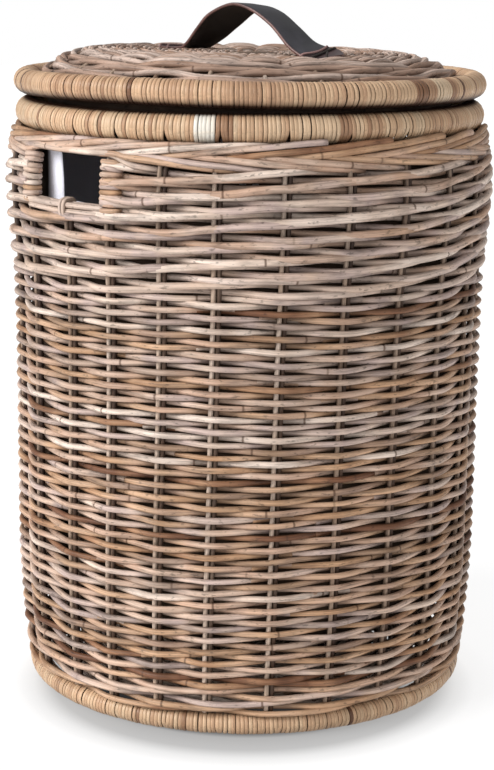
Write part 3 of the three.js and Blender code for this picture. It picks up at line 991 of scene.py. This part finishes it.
def liner():
    columns = 288
    theta = np.arange(columns) * TAU / columns
    # the outline, from the middle of the bottom to the top
    floor_r = np.linspace(0.5, LINER_RADIUS - LINER_CORNER, 14)
    bend = np.radians(np.linspace(-90, 0, 8))[1:]
    corner_r = LINER_RADIUS - LINER_CORNER + LINER_CORNER * np.cos(bend)
    corner_z = LINER_LOW + LINER_CORNER + LINER_CORNER * np.sin(bend)
    wall_z = np.concatenate([
        np.linspace(LINER_LOW + LINER_CORNER, LINER_HOLE[0], 26)[1:],
        np.linspace(*LINER_HOLE, 9)[1:],
        [529.0, LINER_HIGH],
    ])
    r = np.concatenate([floor_r, corner_r, np.full(len(wall_z), LINER_RADIUS)])
    z = np.concatenate([np.full(14, LINER_LOW), corner_z, wall_z])
    # the folds of the loose part
    loose = smooth((z - LINER_LOW) / 60) * smooth((LINER_HIGH + 8 - z) / 60)
    z_column = z[:, None]
    folds = (
        0.5 * np.sin(11 * theta + z_column / 70)
        + 0.3 * np.sin(23 * theta - z_column / 45 + 1)
        + 0.2 * np.sin(5 * theta + z_column / 30)
    )
    sag = 1.5 * np.sin(4 * theta + r[:, None] / 30) * (z_column <= LINER_LOW + 1)
    radius = r[:, None] - 1.8 * loose[:, None] * (1 + folds)
    points = np.stack([radius * np.cos(theta), radius * np.sin(theta), z_column + sag], axis=-1)
    # at the hand-holes: the openings, the white hem and the painted shade round it
    degrees = np.degrees(theta)
    hem, shade = np.zeros(columns), np.zeros(columns)
    cut = np.zeros(columns, bool)
    for hole in HOLES:
        off = np.mod(degrees - hole + 180, 360) - 180
        hem = np.maximum(hem, smooth((off + HOLE_BEFORE + HEM) / 2.5) * (off < 0))
        # painted shade beside the hole
        shade = np.maximum(shade, smooth((22 - np.abs(off)) / 6))
        cut |= (off > -HOLE_BEFORE - 0.1) & (off < HOLE_AFTER - 0.1)
    high_up = smooth((z - WHITE_BAND) / 5)[:, None]
    tone, tint = high_up * hem, high_up * shade
    kept = np.ones((len(z) - 1, columns), bool)
    middle = (z[1:] + z[:-1]) / 2
    kept[np.ix_((middle > LINER_HOLE[0]) & (middle < LINER_HOLE[1]), cut)] = False
    mesh = shell("liner_bag", points, 1.1, kept, tone, tint)
    bag = add_piece("liner_bag", mesh, lining_material, "basket", ("cotton_liner",))
    # the ties: a pair of hanging tapes in each quarter
    tapes = Bundle()
    for k in range(4):
        angle = math.radians(45 + 90 * k)
        out = np.array([math.cos(angle), math.sin(angle), 0])
        ahead = np.array([-out[1], out[0], 0])
        for side in (-1, 1):
            fall = np.linspace(0, 1, 16)
            drop = 524 - 23 * fall
            slide = side * (2.2 + 3.5 * fall ** 2)
            path = (209.6 + 1.0 * np.sin(6 * fall))[:, None] * out
            path = path + slide[:, None] * ahead + drop[:, None] * UP
            tube(tapes, path, out, 3.0, 0.5, sides=10, flat=0.22)
    ties = tapes.build(
        "liner_tapes", tape_material, "basket", "cotton", [f"liner_tie_{k}" for k in range(1, 5)]
    )
    side = TAU * LINER_RADIUS


# ---- the strap ----

# Along the strap: x, height of the middle of the leather, how much higher its far edge stands.
STRAP_LINE = [
    (-123, 605.5, -1), (-84, 605.5, -1), (-72, 609, -1), (-55, 621.5, -4.5), (-37, 635, -5.5),
    (-7, 648.5, -2), (20, 644.5, -1.5), (45, 631, -2), (65, 615.5, 1), (80, 609, 3),
    (97, 605, 5), (115, 605.5, 1),
]
STRAP_TAPER = 25.0  # length of the rounded tip at either end
LACE_PLACES = ((-109, 0.7), (-96, 0.7), (82, 1.0), (94, 0.0))  # x, and how raw the lace is


def strap_half_width(x):
    """Half of the strap's width, which narrows to its two rounded tips."""
    from_end = np.minimum(x - STRAP_LINE[0][0], STRAP_LINE[-1][0] - x)
    back = 1 - np.clip(from_end / STRAP_TAPER, 0, 1)
    return STRAP_WIDTH / 2 * np.sqrt(np.clip(1 - back**2, 0.02, 1))


def strap_top(x, y):
    """The height of the strap's upper face."""
    line = np.array(STRAP_LINE)
    middle = np.interp(x, line[:, 0], line[:, 1])
    return middle + STRAP_LEATHER / 2 + np.interp(x, line[:, 0], line[:, 2]) * y * 2 / STRAP_WIDTH


def strap():
    x, height, roll = spline(STRAP_LINE, 9).T
    slope = unit(np.gradient(np.stack([x, height], axis=1), axis=0))
    half = strap_half_width(x)
    arch = smooth((height - 610) / 30)  # 1 on the raised part
    # a section of the leather, once round: places across it, and which face they are on
    across = np.array([-1, -0.94, -0.8, 0, 0.8, 0.94, 1, 1, 0.94, 0.8, 0, -0.8, -0.94, -1])
    face = np.repeat([-1, 1], 7)
    side = np.abs(across) == 1
    y = half[:, None] * across
    cup = -0.9 * arch[:, None] * (y * 2 / STRAP_WIDTH) ** 2
    up = face * (STRAP_LEATHER / 2 - 0.4 * side) + cup
    points = np.stack([
        x[:, None] + 2.4 * arch[:, None] * y * 2 / STRAP_WIDTH - slope[:, 1:] * up,
        y,
        height[:, None] + roll[:, None] * y * 2 / STRAP_WIDTH + slope[:, :1] * up,
    ], axis=-1)
    bundle = Bundle()
    tone = np.maximum(side, 0.3 * smooth((np.abs(x - STRAP_MIDDLE) - 84) / 12)[:, None] * (face > 0))
    # the underside is black: partly the leather's dark back, partly painted shade under the arch
    under = np.where(side, 0.0, face < 0)
    bundle.add(points, under, (x * MM)[:, None], across[None], tone=tone)
    bundle.build("strap_leather", leather_material, "lid", "dark_leather", ("strap_handle",))


def cords():
    """Laces over the strap's tabs, and a loose end beside the right tip."""
    bundle = Bundle()
    for place, raw in LACE_PLACES:
        half = float(strap_half_width(place)) + 1.2
        y = half * np.sin(np.linspace(-math.pi / 2, math.pi / 2, 30))
        bow = math.copysign(7.0, place) * raw * (1 - (y / half) ** 2)
        z = strap_top(place + bow, y) + 1.0 - 5.5 * np.abs(y / half) ** 12
        path = np.stack([place + bow, y, z], axis=-1)
        tube(bundle, path, UP, 1.15, raw)
    path = spline([(103, -4, 608.8), (108, -10, 606.8), (112, -14.5, 602.6), (119, -20, 601.6)], 8)
    tube(bundle, path, UP, 1.1, 0.0)
    names = [f"strap_lashing_{end}_{k}" for end in ("left", "right") for k in (1, 2)]
    bundle.build("strap_cords", cord_material, "lid", "dark_cord", names)


lower_weave()
wales()
border()
stakes()
hoops()
hand_holes()
lid()
bottom()
liner()
strap()
cords()
# the hoops' poles show only in the slits between turns: their dark brown is painted shade
for name in ("foot_hoop", "rim_hoop", "lid_hoop"):
    bpy.data.objects[name].material_slots[0].material = pole_material


# ---- stage ----

VIEW = 45  # degrees from the front hand-hole round to the camera


def camera():
    """A long lens, a little above the lid."""
    azimuth, away, height = math.radians(VIEW), 1.883, 0.690  # lengths in metres
    pitch, roll = math.radians(12.24), math.radians(0.6)
    data = bpy.data.cameras.new("camera")
    data.sensor_width, data.lens = 36, 91.5  # millimetres
    made = add_object("camera", data)
    made.location = (away * math.sin(azimuth), -away * math.cos(azimuth), height)
    made.rotation_mode = "XYZ"
    made.rotation_euler = (math.pi / 2 - pitch, 0, azimuth)
    made.rotation_euler.rotate_axis("Z", roll)
    bpy.context.scene.camera = made


def sun(name, azimuth, elevation, strength, angle):
    """A distant light. azimuth is where it shines from, turned as the camera's place is."""
    data = bpy.data.lights.new(name, "SUN")
    data.energy = strength
    data.angle = math.radians(angle)
    turn = (math.radians(90 - elevation), 0, math.radians(azimuth))
    add_object(name, data).rotation_euler = turn


SHADOW_SHIFT = (-0.0385, 0.0385, 0)  # metres, from the shadow's middle to the basket's
# Metres from the shadow's middle, and how light the floor is there.
SHADOW_EDGE = (
    (0.143, 0.03), (0.16, 0.42), (0.188, 0.51), (0.206, 0.8), (0.226, 0.96), (0.256, 1.0),
)


def floor():
    mesh = bpy.data.meshes.new("floor")
    half = 9.0  # metres
    corners = [(-half, -half, 0), (half, -half, 0), (half, half, 0), (-half, half, 0)]
    mesh.from_pydata(corners, [], [(0, 1, 2, 3)])
    made = add_object("floor", mesh)
    n = Nodes("floor_paper")
    # a painted soft contact shadow, as from an overhead light, a little towards the camera
    shift = n.tree.nodes.new("ShaderNodeVectorMath")
    n.put(shift.inputs[0], n.place())
    shift.inputs[1].default_value = SHADOW_SHIFT
    away = n.tree.nodes.new("ShaderNodeVectorMath")
    away.operation = "LENGTH"
    n.put(away.inputs[0], shift.outputs[0])
    shade = n.grey_ramp(away.outputs["Value"], *SHADOW_EDGE)
    # it glows, so that it looks as white as the world beyond it
    n.set(Base_Color=n.mix(1.0, shade, (0.2, 0.2, 0.2, 1), "MULTIPLY"), Roughness=0.9)
    n.set(Emission_Color=shade, Emission_Strength=0.86)
    mesh.materials.append(n.material)


FILL = 0.4  # strength of the light from all round


def world():
    """White to the camera, and dimmer as a light."""
    scene_world = bpy.data.worlds.new("studio")
    bpy.context.scene.world = scene_world
    scene_world.use_nodes = True
    tree = scene_world.node_tree
    background = tree.nodes["Background"]
    background.inputs["Color"].default_value = (1, 1, 1, 1)
    seen = tree.nodes.new("ShaderNodeLightPath").outputs["Is Camera Ray"]
    strength = tree.nodes.new("ShaderNodeMath")
    strength.operation = "MULTIPLY_ADD"
    tree.links.new(seen, strength.inputs[0])
    strength.inputs[1].default_value = 1.0 - FILL
    strength.inputs[2].default_value = FILL
    tree.links.new(strength.outputs[0], background.inputs["Strength"])


camera()
floor()
world()
sun("key", VIEW - 68, 30, 3.2, 30)
sun("front", VIEW + 8, 26, 0.55, 40)
bpy.context.scene.view_settings.view_transform = "Standard"
